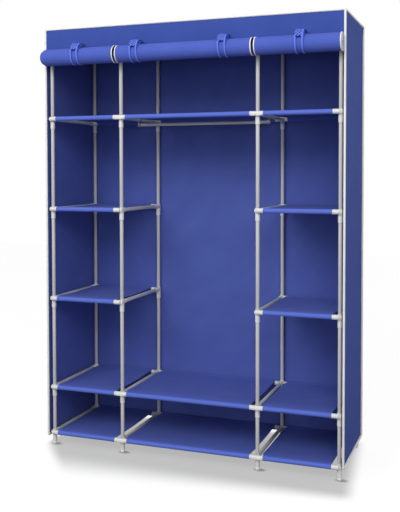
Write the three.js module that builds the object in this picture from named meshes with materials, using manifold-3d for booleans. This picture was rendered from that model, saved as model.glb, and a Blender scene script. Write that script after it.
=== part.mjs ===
// Portable fabric wardrobe: a frame of steel tubes pushed into plastic connectors,
// cloth shelves sleeved on the tubes, and a cloth cover with three rolled-up doors.
// Millimetres, +Z up, +Y towards the back, the origin on the floor under the middle.
import * as THREE from 'three';
import { mergeVertices } from 'three/addons/utils/BufferGeometryUtils.js';
import Module from 'manifold-3d';

const wasm = await Module();
wasm.setup();

// Frame grid, from tube axis to tube axis
const SIDE_BAY = 321;
const CENTRE_BAY = 582;
const FRAME_DEPTH = 383;
const FOOT_LEVEL = 52.3;
const LOW_TIER = 194.7;
const TIER = 380;
const UPPER_TIER = 362.5;
const RIGHT_SPREAD = 7;

// Tubes, connectors and feet
const TUBE_D = 15;
const SOCKET_WALL = 1.5;
const FIT = 0.3;
const CROSS_OFFSET = 16;
const STUB_REACH = 27;
const ROD_SEAT = 18;
const SLEEVE_DROP = 41;
const FOOT_D = 15;
const FOOT_TAPER = 1;
const FOOT_RIM = 3;

// Cloth
const CLOTH = 1.5;
const SHELF_SAG = 5;
const COVER_SIDE = 19.5;
const COVER_FRONT = 19.2;
const COVER_LOW = 49.5;
const HEADER_DROP = 145;
const BINDING_D = 7.5;
const BINDING_CORNER_D = 8.2;

// Rolled doors and their ties
const ROLL_D = 71;
const ROLL_DROP = 122.5;
const ROLL_CORE = 10;
const ROLL_TURNS = 7;
const ROLL_TAIL = 28;
const ROLL_GAP = 6;
const ROLL_SHORT_LEFT = 9.5;
const ROLL_SHORT_RIGHT = 4.2;
const SPLIT_SHIFT_LEFT = 7;
const SPLIT_SHIFT_RIGHT = 1.5;
const RIBBON_W = 6;
const RIBBON_T = 1.5;
const RIBBON_SPACING = 25;
const TIE_RISE = 11;
const TIE_CREST = 14.5;
const TIE_LIFT = 8.5;
const TIE_SLACK = 12;
const TIE_EASE = 8;
const TIE_END = 5;
const PATCH_T = 3;
const PATCH_TOP_SHARE = 0.645;
const PATCH_LOW_SHARE = 0.807;
const TIE_LAND_SHARE = 0.93;
const TIE_LEAVE_SHARE = 5 / 3;

// Hanging rail and the clips that carry it
const RAIL_D = 13;
const RAIL_DROP = 22;
const CLIP_WALL = 2.4;
const CLIP_W = 12;

// Facets
const TUBE_SIDES = 8;
const TURN_STEPS = 12;
const CURVE_STEPS = 3;

// Where the ties sit along their roll, as shares of its length
const LEFT_TIE_SHARE = 0.482;
const RIGHT_TIE_SHARE = 0.53;
const CENTRE_TIE_SHARES = [0.148, 0.794];

// A facet's distance from the axis, as a share of its corners' distance
const FLAT_SHARE = Math.cos(Math.PI / TUBE_SIDES);

// Values that follow from the sizes above
const TUBE_R = TUBE_D / 2;
const BORE_R = TUBE_R + FIT;
const SOCKET_R = BORE_R + SOCKET_WALL;
const BINDING_R = BINDING_D / 2;
const CORNER_R = BINDING_CORNER_D / 2;
const ROLL_R = ROLL_D / 2;
const RAIL_R = RAIL_D / 2;
const COLUMN_X = [0, SIDE_BAY, SIDE_BAY + CENTRE_BAY, 2 * SIDE_BAY + CENTRE_BAY];
const LEFT_LEVELS = [0, LOW_TIER, LOW_TIER + TIER, LOW_TIER + 2 * TIER, LOW_TIER + 3 * TIER]
  .map((rise) => FOOT_LEVEL + rise);
const RIGHT_LEVELS = LEFT_LEVELS.map((z, i) => z + [0, 0, -RIGHT_SPREAD, RIGHT_SPREAD, 0][i]);
const COLUMN_LEVELS = [LEFT_LEVELS, LEFT_LEVELS, RIGHT_LEVELS, RIGHT_LEVELS];
const TOP_LEVEL = LEFT_LEVELS[4] + UPPER_TIER;
const BAYS = [
  { name: 'left', from: 0, levels: LEFT_LEVELS, shelves: [0, 1, 2, 3, 4] },
  { name: 'centre', from: 1, levels: LEFT_LEVELS, shelves: [0, 1, 4] },
  { name: 'right', from: 2, levels: RIGHT_LEVELS, shelves: [0, 1, 2, 3, 4] },
];
const COVER = {
  left: -COVER_SIDE,
  right: COLUMN_X[3] + COVER_SIDE,
  front: -COVER_FRONT,
  back: FRAME_DEPTH + SOCKET_R + FIT + BINDING_R,
  low: COVER_LOW,
  top: TOP_LEVEL + SOCKET_R + FIT + CLOTH / 2,
};
const ROLL_Y = COVER.front - CLOTH / 2 - FIT - ROLL_R;
const ROLL_Z = COVER.top - ROLL_DROP;
const RIBBON_R = ROLL_R + FIT + RIBBON_T / 2;
const HEADER_FACE = COVER.front - CLOTH / 2 - FIT;
const WELD = FIT / 100;
const FRONT_MOST = ROLL_Y - RIBBON_R - RIBBON_T / 2;
const BACK_MOST = COVER.back + CORNER_R;

// Finishes
const steel = new THREE.MeshStandardMaterial({ color: 0xc8c8c6, roughness: 0.38, metalness: 0.2 });
const plastic = new THREE.MeshStandardMaterial({ color: 0xeeeeec, roughness: 0.45, metalness: 0 });
const cloth = new THREE.MeshStandardMaterial({ color: 0x4355b4, roughness: 0.9, metalness: 0 });
const ribbonCloth = new THREE.MeshStandardMaterial({ color: 0x5a70dc, roughness: 0.8, metalness: 0 });
const bindingCloth = new THREE.MeshStandardMaterial({ color: 0xf2f0ea, roughness: 0.85, metalness: 0 });

const wardrobe = new THREE.Group();
wardrobe.position.set(-COLUMN_X[3] / 2, -(FRONT_MOST + BACK_MOST) / 2, 0);

function place(name, geometry, material, x = 0, y = 0, z = 0) {
  const mesh = new THREE.Mesh(geometry, material);
  mesh.name = name;
  mesh.position.set(x, y, z);
  wardrobe.add(mesh);
}

// Solids and joining

function toSolid(geometry) {
  const bare = geometry.clone();
  bare.deleteAttribute('normal');
  bare.deleteAttribute('uv');
  const merged = mergeVertices(bare, WELD);
  return new wasm.Manifold(new wasm.Mesh({
    numProp: 3,
    vertProperties: new Float32Array(merged.attributes.position.array),
    triVerts: new Uint32Array(merged.index.array),
  }));
}

function toGeometry(solid) {
  const mesh = solid.simplify(WELD).getMesh();
  const geometry = new THREE.BufferGeometry();
  geometry.setAttribute('position', new THREE.BufferAttribute(new Float32Array(mesh.vertProperties), 3));
  geometry.setIndex(new THREE.BufferAttribute(new Uint32Array(mesh.triVerts), 1));
  geometry.computeVertexNormals();
  return geometry;
}

function join(pieces) {
  return pieces.map(toSolid).reduce((whole, piece) => whole.add(piece));
}

function cut(whole, pieces) {
  return pieces.map(toSolid).reduce((rest, piece) => rest.subtract(piece), whole);
}

// A round bar between two points, faceted, with flats facing along the world axes
function bar(from, to, radius) {
  const a = new THREE.Vector3(...from);
  const b = new THREE.Vector3(...to);
  const corner = radius / FLAT_SHARE;
  const geometry = new THREE.CylinderGeometry(corner, corner, a.distanceTo(b), TUBE_SIDES);
  geometry.rotateY(Math.PI / TUBE_SIDES);
  const turn = new THREE.Quaternion().setFromUnitVectors(
    new THREE.Vector3(0, 1, 0), b.clone().sub(a).normalize());
  geometry.applyQuaternion(turn);
  const middle = a.add(b).multiplyScalar(1 / 2);
  return geometry.translate(middle.x, middle.y, middle.z);
}

// An outline drawn in Y and Z, pulled along X
function alongX(shape, from, to) {
  const geometry = new THREE.ExtrudeGeometry(shape, { depth: to - from, bevelEnabled: false, steps: 1 });
  const swing = new THREE.Matrix4().makeBasis(
    new THREE.Vector3(0, 1, 0), new THREE.Vector3(0, 0, 1), new THREE.Vector3(1, 0, 0));
  return geometry.applyMatrix4(swing).translate(from, 0, 0);
}

function block(x, y, z) {
  const geometry = new THREE.BoxGeometry(x[1] - x[0], y[1] - y[0], z[1] - z[0]);
  return geometry.translate((x[0] + x[1]) / 2, (y[0] + y[1]) / 2, (z[0] + z[1]) / 2);
}

function arc(radius, fromAngle, toAngle, steps) {
  return Array.from({ length: steps + 1 }, (_, i) => {
    const angle = fromAngle + (toAngle - fromAngle) * i / steps;
    return new THREE.Vector2(radius * Math.cos(angle), radius * Math.sin(angle));
  });
}

// Corners of a bar's section around (y, 0), counted from the one above its +Y side
function corners(y, radius, first, last) {
  return Array.from({ length: last - first + 1 }, (_, i) => {
    const angle = 2 * Math.PI * (first + i + 1 / 2) / TUBE_SIDES;
    const reach = radius / FLAT_SHARE;
    return new THREE.Vector2(y + reach * Math.cos(angle), reach * Math.sin(angle));
  });
}

// The outline of a strip of cloth that follows a line of points
function strip(points, thickness) {
  const side = (sign) => points.map((point, i) => {
    const before = points[Math.max(i - 1, 0)];
    const after = points[Math.min(i + 1, points.length - 1)];
    const along = after.clone().sub(before).normalize();
    return new THREE.Vector2(along.y, -along.x).multiplyScalar(sign * thickness / 2).add(point);
  });
  return new THREE.Shape([...side(1), ...side(-1).reverse()]);
}

// Frame

const quarter = Math.PI / 2;

// A connector's outer shape: a sleeve under the tube's end, a cross arm ahead of the
// column for the shelf rods, and an arm for the depth tube.
function connector(y, z, inward, hasLeft, hasRight, crossY) {
  const armLeft = hasLeft ? -STUB_REACH : -SOCKET_R;
  const armRight = hasRight ? STUB_REACH : SOCKET_R;
  const armRoot = inward > 0 ? Math.min(y, crossY) : Math.max(y, crossY);
  const armEnd = inward > 0 ? y + STUB_REACH : crossY - STUB_REACH;
  return [
    bar([0, y, z - SLEEVE_DROP], [0, y, z + SOCKET_R], SOCKET_R),
    bar([armLeft, crossY, z], [armRight, crossY, z], SOCKET_R),
    bar([0, armRoot, z], [0, armEnd, z], SOCKET_R),
  ];
}

function rodBores(z, crossY, hasLeft, hasRight) {
  const seat = STUB_REACH - ROD_SEAT;
  const mouth = STUB_REACH + FIT;
  return [
    ...(hasLeft ? [bar([-mouth, crossY, z], [-seat, crossY, z], BORE_R)] : []),
    ...(hasRight ? [bar([seat, crossY, z], [mouth, crossY, z], BORE_R)] : []),
  ];
}

// A plug in the lowest sleeve, drawn in a little where it meets the floor
function foot(y) {
  const corner = FOOT_D / 2 / FLAT_SHARE;
  const profile = [
    new THREE.Vector2(0, 0),
    new THREE.Vector2(corner - FOOT_TAPER, 0),
    new THREE.Vector2(corner, FOOT_RIM),
    new THREE.Vector2(corner, FOOT_LEVEL),
    new THREE.Vector2(0, FOOT_LEVEL),
  ];
  const geometry = new THREE.LatheGeometry(profile, TUBE_SIDES);
  geometry.rotateX(quarter);
  geometry.rotateZ(Math.PI / TUBE_SIDES);
  return geometry.translate(0, y, 0);
}

// Front and rear upright, the depth tubes between them, their connectors and feet
function ladderFrame(column) {
  const levels = COLUMN_LEVELS[column];
  const leftBay = BAYS.find((bay) => bay.from === column - 1);
  const rightBay = BAYS.find((bay) => bay.from === column);
  const pieces = [];
  const bores = [];
  for (const y of [0, FRAME_DEPTH]) {
    pieces.push(bar([0, y, FOOT_LEVEL - SLEEVE_DROP], [0, y, TOP_LEVEL - SOCKET_R - FIT], TUBE_R));
    pieces.push(foot(y));
    levels.forEach((z, level) => {
      const hasLeft = Boolean(leftBay?.shelves.includes(level));
      const hasRight = Boolean(rightBay?.shelves.includes(level));
      pieces.push(...connector(y, z, y === 0 ? 1 : -1, hasLeft, hasRight, y - CROSS_OFFSET));
      bores.push(...rodBores(z, y - CROSS_OFFSET, hasLeft, hasRight));
    });
  }
  levels.forEach((z) => pieces.push(bar([0, 0, z], [0, FRAME_DEPTH, z], TUBE_R)));
  return toGeometry(cut(join(pieces), bores));
}

['side_frame_left', 'divider_frame_left', 'divider_frame_right', 'side_frame_right']
  .forEach((name, column) => place(name, ladderFrame(column), steel, COLUMN_X[column]));

// The grid that closes the frame at the top and drops over the ends of the uprights
function topFrame() {
  const pieces = [];
  const bores = [];
  for (const [y, inward] of [[0, 1], [FRAME_DEPTH, -1]]) {
    COLUMN_X.forEach((x, column) => {
      const corner = connector(y, TOP_LEVEL, inward, column > 0, column < 3, y);
      pieces.push(...corner.map((piece) => piece.translate(x, 0, 0)));
      bores.push(bar([x, y, TOP_LEVEL - SLEEVE_DROP - FIT], [x, y, TOP_LEVEL - SOCKET_R], BORE_R));
    });
    pieces.push(bar([0, y, TOP_LEVEL], [COLUMN_X[3], y, TOP_LEVEL], TUBE_R));
  }
  COLUMN_X.forEach((x) => pieces.push(bar([x, 0, TOP_LEVEL], [x, FRAME_DEPTH, TOP_LEVEL], TUBE_R)));
  return toGeometry(cut(join(pieces), bores));
}

place('top_frame', topFrame(), steel);

// Shelf rods and shelves

function shelfRod(span) {
  const length = span - 2 * (STUB_REACH - ROD_SEAT + FIT);
  return bar([-length / 2, 0, 0], [length / 2, 0, 0], TUBE_R);
}

// A cloth panel with a sleeve sewn along its front and rear edge, a little slack between
function shelf(span) {
  const front = -CROSS_OFFSET;
  const rear = FRAME_DEPTH - CROSS_OFFSET;
  const sleeveR = BORE_R + CLOTH;
  const below = sleeveR - CLOTH;
  const meet = sleeveR * Math.tan(Math.PI / TUBE_SIDES) + CLOTH;
  const web = (z) => Array.from({ length: 2 * CURVE_STEPS - 1 }, (_, i) => {
    const share = (i + 1) / (2 * CURVE_STEPS);
    const sag = 4 * SHELF_SAG * share * (1 - share);
    return new THREE.Vector2(front + (rear - front) * share, z - sag);
  });
  const outline = new THREE.Shape([
    ...corners(front, sleeveR, TUBE_SIDES / 4, TUBE_SIDES),
    new THREE.Vector2(front + meet, below),
    ...web(below),
    new THREE.Vector2(rear - meet, below),
    ...corners(rear, sleeveR, TUBE_SIDES / 4 + 1, TUBE_SIDES + 1),
    ...web(sleeveR).reverse(),
  ]);
  for (const y of [front, rear]) {
    outline.holes.push(new THREE.Path(corners(y, BORE_R, 0, TUBE_SIDES - 1)));
  }
  const half = span / 2 - STUB_REACH - FIT;
  return alongX(outline, -half, half);
}

for (const bay of BAYS) {
  const span = COLUMN_X[bay.from + 1] - COLUMN_X[bay.from];
  const middle = COLUMN_X[bay.from] + span / 2;
  for (const level of bay.shelves) {
    const label = `${bay.name}_${level + 1}`;
    const z = bay.levels[level];
    place(`rod_front_${label}`, shelfRod(span), steel, middle, -CROSS_OFFSET, z);
    place(`rod_rear_${label}`, shelfRod(span), steel, middle, FRAME_DEPTH - CROSS_OFFSET, z);
    place(`shelf_${label}`, shelf(span), cloth, middle, 0, z);
  }
}

// Cover: flat panels whose edges meet the binding

const edge = CORNER_R + FIT;
const inner = {
  x: [COVER.left + edge, COVER.right - edge],
  y: [COVER.front + edge, COVER.back - edge],
  z: [COVER.low + edge, COVER.top - edge],
};

function around(plane) {
  return [plane - CLOTH / 2, plane + CLOTH / 2];
}

place('cover_left', block(around(COVER.left), inner.y, inner.z), cloth);
place('cover_right', block(around(COVER.right), inner.y, inner.z), cloth);
place('cover_back', block(inner.x, around(COVER.back), inner.z), cloth);
place('cover_top', block(inner.x, inner.y, around(COVER.top)), cloth);
place('cover_header', block(inner.x, around(COVER.front), [COVER.top - HEADER_DROP, inner.z[1]]), cloth);

// The pale binding that runs along every edge of the cover
function edgeBinding() {
  const { left, right, front, back, low, top } = COVER;
  const runs = [
    ...[left, right].flatMap((x) => [
      [[x, front, low], [x, front, top]],
      [[x, back, low], [x, back, top]],
      [[x, front, low], [x, back, low]],
      [[x, front, top], [x, back, top]],
    ]),
    [[left, front, top], [right, front, top]],
    [[left, back, top], [right, back, top]],
    [[left, back, low], [right, back, low]],
  ];
  const about = (place) => [place - CORNER_R, place + CORNER_R];
  const folds = [];
  for (const x of [left, right]) {
    for (const y of [front, back]) {
      for (const z of [low, top]) {
        folds.push(block(about(x), about(y), about(z)));
      }
    }
  }
  return toGeometry(join([...runs.map(([from, to]) => bar(from, to, BINDING_R)), ...folds]));
}

place('edge_binding', edgeBinding(), bindingCloth);

// Rolled doors: each is one sheet wound on itself, with its top edge up behind the roll
function doorRoll(length) {
  const outer = ROLL_R - CLOTH / 2;
  const core = ROLL_CORE / 2;
  const steps = ROLL_TURNS * TURN_STEPS;
  const points = Array.from({ length: steps + 1 }, (_, i) => {
    const angle = 2 * Math.PI * i / TURN_STEPS;
    const radius = core + (outer - core) * i / steps;
    return new THREE.Vector2(radius * Math.cos(angle), radius * Math.sin(angle));
  });
  points.push(new THREE.Vector2(outer, ROLL_TAIL / 2), new THREE.Vector2(outer, ROLL_TAIL));
  return alongX(strip(points, CLOTH), -length / 2, length / 2);
}

const leftSplit = COLUMN_X[1] + SPLIT_SHIFT_LEFT;
const rightSplit = COLUMN_X[2] + SPLIT_SHIFT_RIGHT;
const ROLLS = [
  { name: 'left', from: COVER.left + ROLL_SHORT_LEFT, to: leftSplit - ROLL_GAP / 2 },
  { name: 'centre', from: leftSplit + ROLL_GAP / 2, to: rightSplit - ROLL_GAP / 2 },
  { name: 'right', from: rightSplit + ROLL_GAP / 2, to: COVER.right - ROLL_SHORT_RIGHT },
];
for (const { name, from, to } of ROLLS) {
  place(`door_roll_${name}`, doorRoll(to - from), cloth, (from + to) / 2, ROLL_Y, ROLL_Z);
}

// A tie: two ribbons that leave the header above the roll, arch forward over it, run down
// its front and under it, and come up to the header again. A sewn patch joins them where
// they stand off the roll.
function rollTie() {
  const face = HEADER_FACE - RIBBON_T / 2 - ROLL_Y;
  const axis = new THREE.Vector2();
  const offRoll = (lift, share) => new THREE.Vector2(ROLL_R + lift, 0).rotateAround(axis, Math.PI * share);
  const top = offRoll(TIE_CREST, PATCH_TOP_SHARE);
  const low = offRoll(TIE_LIFT, PATCH_LOW_SHARE);
  const down = low.clone().sub(top).normalize();
  const root = new THREE.Vector2(face, ROLL_R + TIE_RISE);
  const arch = new THREE.CubicBezierCurve(
    root, root.clone().add(new THREE.Vector2(-TIE_SLACK, TIE_SLACK / 2)),
    top.clone().addScaledVector(down, -TIE_SLACK), top);
  const land = Math.PI * TIE_LAND_SHARE;
  const wrap = arc(RIBBON_R, land, Math.PI * TIE_LEAVE_SHARE, TURN_STEPS);
  const onto = new THREE.Vector2(-Math.sin(land), Math.cos(land));
  const fall = new THREE.CubicBezierCurve(
    low, low.clone().addScaledVector(down, TIE_EASE / 2),
    wrap[0].clone().addScaledVector(onto, -TIE_EASE), wrap[0]);
  const last = wrap[TURN_STEPS];
  const end = new THREE.Vector2(face, COVER.top - HEADER_DROP - ROLL_Z + TIE_END);
  const rise = new THREE.QuadraticBezierCurve(last, new THREE.Vector2(face, last.y + TIE_END), end);
  const ribbon = strip([
    ...arch.getPoints(2 * CURVE_STEPS),
    ...fall.getPoints(CURVE_STEPS),
    ...wrap.slice(1),
    ...rise.getPoints(CURVE_STEPS).slice(1),
  ], RIBBON_T);
  const pieces = [-RIBBON_SPACING / 2, RIBBON_SPACING / 2]
    .map((x) => alongX(ribbon, x - RIBBON_W / 2, x + RIBBON_W / 2));
  const reach = (RIBBON_SPACING + RIBBON_W) / 2 + RIBBON_T;
  pieces.push(alongX(strip([top, low], PATCH_T), -reach, reach));
  return toGeometry(join(pieces));
}

const [leftRoll, centreRoll, rightRoll] = ROLLS;
const TIES = [
  ['roll_tie_left', leftRoll, LEFT_TIE_SHARE],
  ['roll_tie_centre_left', centreRoll, CENTRE_TIE_SHARES[0]],
  ['roll_tie_centre_right', centreRoll, CENTRE_TIE_SHARES[1]],
  ['roll_tie_right', rightRoll, RIGHT_TIE_SHARE],
];
for (const [name, roll, share] of TIES) {
  place(name, rollTie(), ribbonCloth, roll.from + (roll.to - roll.from) * share, ROLL_Y, ROLL_Z);
}

// Hanging rail, under the upper depth tubes of the two divider frames

const RAIL_Y = FRAME_DEPTH / 2 - CROSS_OFFSET;
const HANG_LEVEL = LEFT_LEVELS[4];
place('hanging_rail', bar([COLUMN_X[1], 0, 0], [COLUMN_X[2], 0, 0], RAIL_R), steel,
  0, RAIL_Y, HANG_LEVEL - RAIL_DROP);

// A clip that snaps over the depth tube and holds the rail's end in a ring below it
function railClip(side) {
  const clipR = BORE_R + CLIP_WALL / 2;
  const ringR = RAIL_R + FIT;
  const hookPoints = corners(0, clipR, 5 * TUBE_SIDES / 8, 11 * TUBE_SIDES / 8);
  const hook = alongX(strip(hookPoints, CLIP_WALL), -CLIP_W / 2, CLIP_W / 2).rotateZ(side * quarter);
  const ring = bar([-CLIP_WALL / 2, 0, -RAIL_DROP], [CLIP_W - CLIP_WALL / 2, 0, -RAIL_DROP], ringR + CLIP_WALL);
  const bore = bar([-CLIP_WALL, 0, -RAIL_DROP], [CLIP_W, 0, -RAIL_DROP], ringR);
  const neck = block([-CLIP_WALL / 2, CLIP_WALL], [-CLIP_W / 2, CLIP_W / 2],
    [-RAIL_DROP + ringR + CLIP_WALL / 2, -clipR]);
  return toGeometry(cut(join([hook, ring, neck]), [bore]));
}

const rightClip = railClip(1);
rightClip.rotateZ(Math.PI);
place('rail_clip_left', railClip(1), plastic, COLUMN_X[1], RAIL_Y, HANG_LEVEL);
place('rail_clip_right', rightClip, plastic, COLUMN_X[2], RAIL_Y, HANG_LEVEL);

export default wardrobe;
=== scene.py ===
import math

import bmesh
import bpy
from mathutils import Matrix, Vector, noise


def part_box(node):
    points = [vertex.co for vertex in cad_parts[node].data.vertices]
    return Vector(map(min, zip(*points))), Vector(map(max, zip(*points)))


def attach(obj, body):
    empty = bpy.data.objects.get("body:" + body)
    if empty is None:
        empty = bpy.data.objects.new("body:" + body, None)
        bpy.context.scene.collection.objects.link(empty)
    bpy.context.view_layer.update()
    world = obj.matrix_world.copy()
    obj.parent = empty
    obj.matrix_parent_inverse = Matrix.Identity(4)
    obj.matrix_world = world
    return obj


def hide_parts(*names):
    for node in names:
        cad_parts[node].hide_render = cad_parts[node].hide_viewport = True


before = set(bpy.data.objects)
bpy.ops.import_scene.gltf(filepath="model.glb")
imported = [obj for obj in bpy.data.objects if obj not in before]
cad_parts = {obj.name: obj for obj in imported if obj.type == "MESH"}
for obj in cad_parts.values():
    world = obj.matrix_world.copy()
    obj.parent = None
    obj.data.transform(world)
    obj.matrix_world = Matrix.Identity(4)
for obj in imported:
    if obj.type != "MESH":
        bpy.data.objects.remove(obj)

bpy.ops.object.select_all(action="DESELECT")
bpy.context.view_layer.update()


# Camera
# A long lens at chest height, ahead and to the right of the wardrobe, its frame shifted
# down so that the uprights stay nearly parallel. Fitted to the joints in the photograph.
CAMERA_PLACE = (1.1625, -3.15886, 1.16675)
CAMERA_YAW = 0.3536
CAMERA_PITCH = -0.0354
CAMERA_ROLL = -0.0016
SENSOR_WIDTH = 36
FOCAL_LENGTH = 56.79
FRAME_SHIFT = -0.1102

bpy.ops.object.camera_add(location=CAMERA_PLACE)
camera = bpy.context.object
camera.name = "studio_camera"
camera.rotation_euler = (
    Matrix.Rotation(CAMERA_YAW, 3, "Z")
    @ Matrix.Rotation(math.pi / 2 + CAMERA_PITCH, 3, "X")
    @ Matrix.Rotation(CAMERA_ROLL, 3, "Z")
).to_euler()
camera.data.sensor_width = SENSOR_WIDTH
camera.data.lens = FOCAL_LENGTH
camera.data.shift_y = FRAME_SHIFT
bpy.context.scene.camera = camera


# Studio
# A matt white sweep. A soft grey shadow ahead of the wardrobe and darker ones round its feet are
# painted on it, over a faint real shadow, and it turns plain white beyond. A bright even room
# lights it, with a large softbox high ahead at the left and a weaker one at the right.
FLOOR_SIZE = 16
# The sides of the large painted shadow: the axis each is measured along, and the two slanting
# lines where its fade begins and ends, as their place where the other axis is zero and their slope
PAINTED_SHADOW_SIDES = (
    ("Y", (-0.245, -0.024), (-0.45, 0.125)),
    ("X", (-0.72, -0.78), (-0.8, -0.78)),
    ("X", (0.606, -0.1), (0.68, -0.1)),
    ("X", (-0.635, 0), (-0.655, 0)),
    ("Y", (0.27, 0), (0.33, 0)),
)
FRONT_Y = -0.1537
FEET_X = (-0.612, -0.291, 0.291, 0.612)
# Painted shadows round the front feet: their darkness, where their fade starts, their size across
# and in depth, and how far they sit aside from and ahead of each foot
FOOT_SHADE = 0.38
FOOT_SHADE_CORE = 0.3
FOOT_SHADE_WIDE = 0.034
FOOT_SHADE_DEEP = 0.022
FOOT_SHADE_ASIDE = 0.01
FOOT_SHADE_AHEAD = 0.004
GLOW_STRENGTH = 1.12
GLOW_SHARE = 0.8
ROOM_AHEAD = 1.2
ROOM_ABOVE = 0.33
LAMP_AIM = (0, 0, 0.9)

bpy.context.scene.view_settings.view_transform = "Standard"


def hex_colour(code):
    """An sRGB hex colour as the linear red, green, blue and alpha that Blender works in."""
    parts = [int(code[i:i + 2], 16) / 255 for i in (0, 2, 4)]
    linear = [p / 12.92 if p <= 0.04045 else ((p + 0.055) / 1.055) ** 2.4 for p in parts]
    return (*linear, 1.0)


def set_inputs(tree, node, inputs):
    """Give a node's inputs values or other nodes' outputs."""
    for socket, value in inputs.items():
        if isinstance(value, bpy.types.NodeSocket):
            tree.links.new(value, node.inputs[socket])
        else:
            node.inputs[socket].default_value = value


def add_node(tree, kind, inputs=None, **settings):
    """Add a node with its settings and inputs. A mix of colours takes them on its inputs 6
    and 7, and gives the result on its output 2."""
    node = tree.nodes.new(kind)
    for name, value in settings.items():
        setattr(node, name, value)
    set_inputs(tree, node, inputs or {})
    return node


bpy.ops.mesh.primitive_plane_add(size=FLOOR_SIZE)
floor = bpy.context.object
floor.name = "studio_floor"
paint = bpy.data.materials.new("matt_white_floor_paint")
paint.use_nodes = True
tree = paint.node_tree
tree.nodes.clear()
spot_place = add_node(tree, "ShaderNodeTexCoord").outputs["Object"]
spot = add_node(tree, "ShaderNodeSeparateXYZ", {0: spot_place})
painted_shadow = 1.0
for along, *lines in PAINTED_SHADOW_SIDES:
    across = "X" if along == "Y" else "Y"
    start, end = [add_node(tree, "ShaderNodeMath", {
        0: spot.outputs[across], 1: slope, 2: place}, operation="MULTIPLY_ADD").outputs["Value"]
        for place, slope in lines]
    lit = add_node(tree, "ShaderNodeMapRange", {
        "Value": spot.outputs[along], "From Min": start, "From Max": end},
        interpolation_type="SMOOTHSTEP")
    shaded = add_node(tree, "ShaderNodeMath", {0: 1.0, 1: lit.outputs["Result"]},
                      operation="SUBTRACT")
    painted_shadow = add_node(tree, "ShaderNodeMath", {0: painted_shadow, 1: shaded.outputs["Value"]},
                      operation="MULTIPLY").outputs["Value"]
# The floor's colour: white, and grey inside the painted shadow
tone = add_node(tree, "ShaderNodeMix", {
    "Factor": painted_shadow, 6: (1, 1, 1, 1), 7: hex_colour("BBBBBB")}, data_type="RGBA").outputs[2]
# Painted shadows round the front feet darken the floor's colour
for x in FEET_X:
    away = add_node(tree, "ShaderNodeVectorMath", {
        0: spot_place, 1: (x + FOOT_SHADE_ASIDE, FRONT_Y - FOOT_SHADE_AHEAD, 0)},
        operation="SUBTRACT")
    near = add_node(tree, "ShaderNodeVectorMath", {
        0: away.outputs["Vector"], 1: (1 / FOOT_SHADE_WIDE, 1 / FOOT_SHADE_DEEP, 0)},
        operation="MULTIPLY")
    reach = add_node(tree, "ShaderNodeVectorMath", {0: near.outputs["Vector"]},
                     operation="LENGTH")
    painted_foot_shadow = add_node(tree, "ShaderNodeMapRange", {
        "Value": reach.outputs["Value"], "From Min": FOOT_SHADE_CORE, "To Min": FOOT_SHADE},
        interpolation_type="SMOOTHSTEP")
    tone = add_node(tree, "ShaderNodeMix", {
        "Factor": 1.0, 6: tone, 7: painted_foot_shadow.outputs["Result"]},
        data_type="RGBA", blend_type="MULTIPLY").outputs[2]
# The camera sees the floor glow almost white with its painted shadows; the light it throws up stays
# low
glow = add_node(tree, "ShaderNodeEmission", {"Color": tone, "Strength": GLOW_STRENGTH})
path = add_node(tree, "ShaderNodeLightPath")
seen = add_node(tree, "ShaderNodeMix", {
    "Factor": path.outputs["Is Camera Ray"], 6: hex_colour("8A8A8A"), 7: hex_colour("D8D8D8")},
    data_type="RGBA")
matt = add_node(tree, "ShaderNodeBsdfDiffuse", {"Color": seen.outputs[2]})
share = add_node(tree, "ShaderNodeMath", {
    0: path.outputs["Is Camera Ray"], 1: GLOW_SHARE}, operation="MULTIPLY")
mixed = add_node(tree, "ShaderNodeMixShader", {
    0: share.outputs["Value"], 1: matt.outputs["BSDF"], 2: glow.outputs["Emission"]})
add_node(tree, "ShaderNodeOutputMaterial", {"Surface": mixed.outputs["Shader"]})
floor.data.materials.append(paint)

# The room is brighter at eye level than overhead, and plain white where it is seen
sky = bpy.data.worlds.new("studio_room")
sky.use_nodes = True
tree = sky.node_tree
tree.nodes.clear()
path = add_node(tree, "ShaderNodeLightPath")
direct = add_node(tree, "ShaderNodeMath", {
    0: path.outputs["Is Camera Ray"], 1: path.outputs["Is Transmission Ray"]}, operation="MAXIMUM")
mirror = add_node(tree, "ShaderNodeMath", {
    0: direct.outputs["Value"], 1: path.outputs["Is Glossy Ray"]}, operation="MAXIMUM")
rise = add_node(tree, "ShaderNodeSeparateXYZ", {
    0: add_node(tree, "ShaderNodeTexCoord").outputs["Generated"]})
ambient = add_node(tree, "ShaderNodeMapRange", {
    "Value": rise.outputs["Z"], "To Min": ROOM_AHEAD, "To Max": ROOM_ABOVE})
strength = add_node(tree, "ShaderNodeMapRange", {
    "Value": mirror.outputs["Value"], "To Min": ambient.outputs["Result"], "To Max": 1.0})
room = add_node(tree, "ShaderNodeBackground", {
    "Color": (1, 1, 1, 1), "Strength": strength.outputs["Result"]})
add_node(tree, "ShaderNodeOutputWorld", {"Surface": room.outputs["Background"]})
bpy.context.scene.world = sky


def add_softbox(name, place, width, height, watts):
    """A rectangular softbox at a place, turned to face the middle of the wardrobe."""
    bpy.ops.object.light_add(type="AREA", location=place)
    box = bpy.context.object
    box.name = name
    box.rotation_euler = (Vector(LAMP_AIM) - Vector(place)).to_track_quat("-Z", "Y").to_euler()
    box.data.shape = "RECTANGLE"
    box.data.size = width
    box.data.size_y = height
    box.data.energy = watts


add_softbox("left_softbox", place=(-1.4, -4.2, 3.8), width=2.6, height=2.2, watts=102)
add_softbox("right_softbox", place=(2.0, -4.4, 3.4), width=2.0, height=2.0, watts=65)


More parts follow.
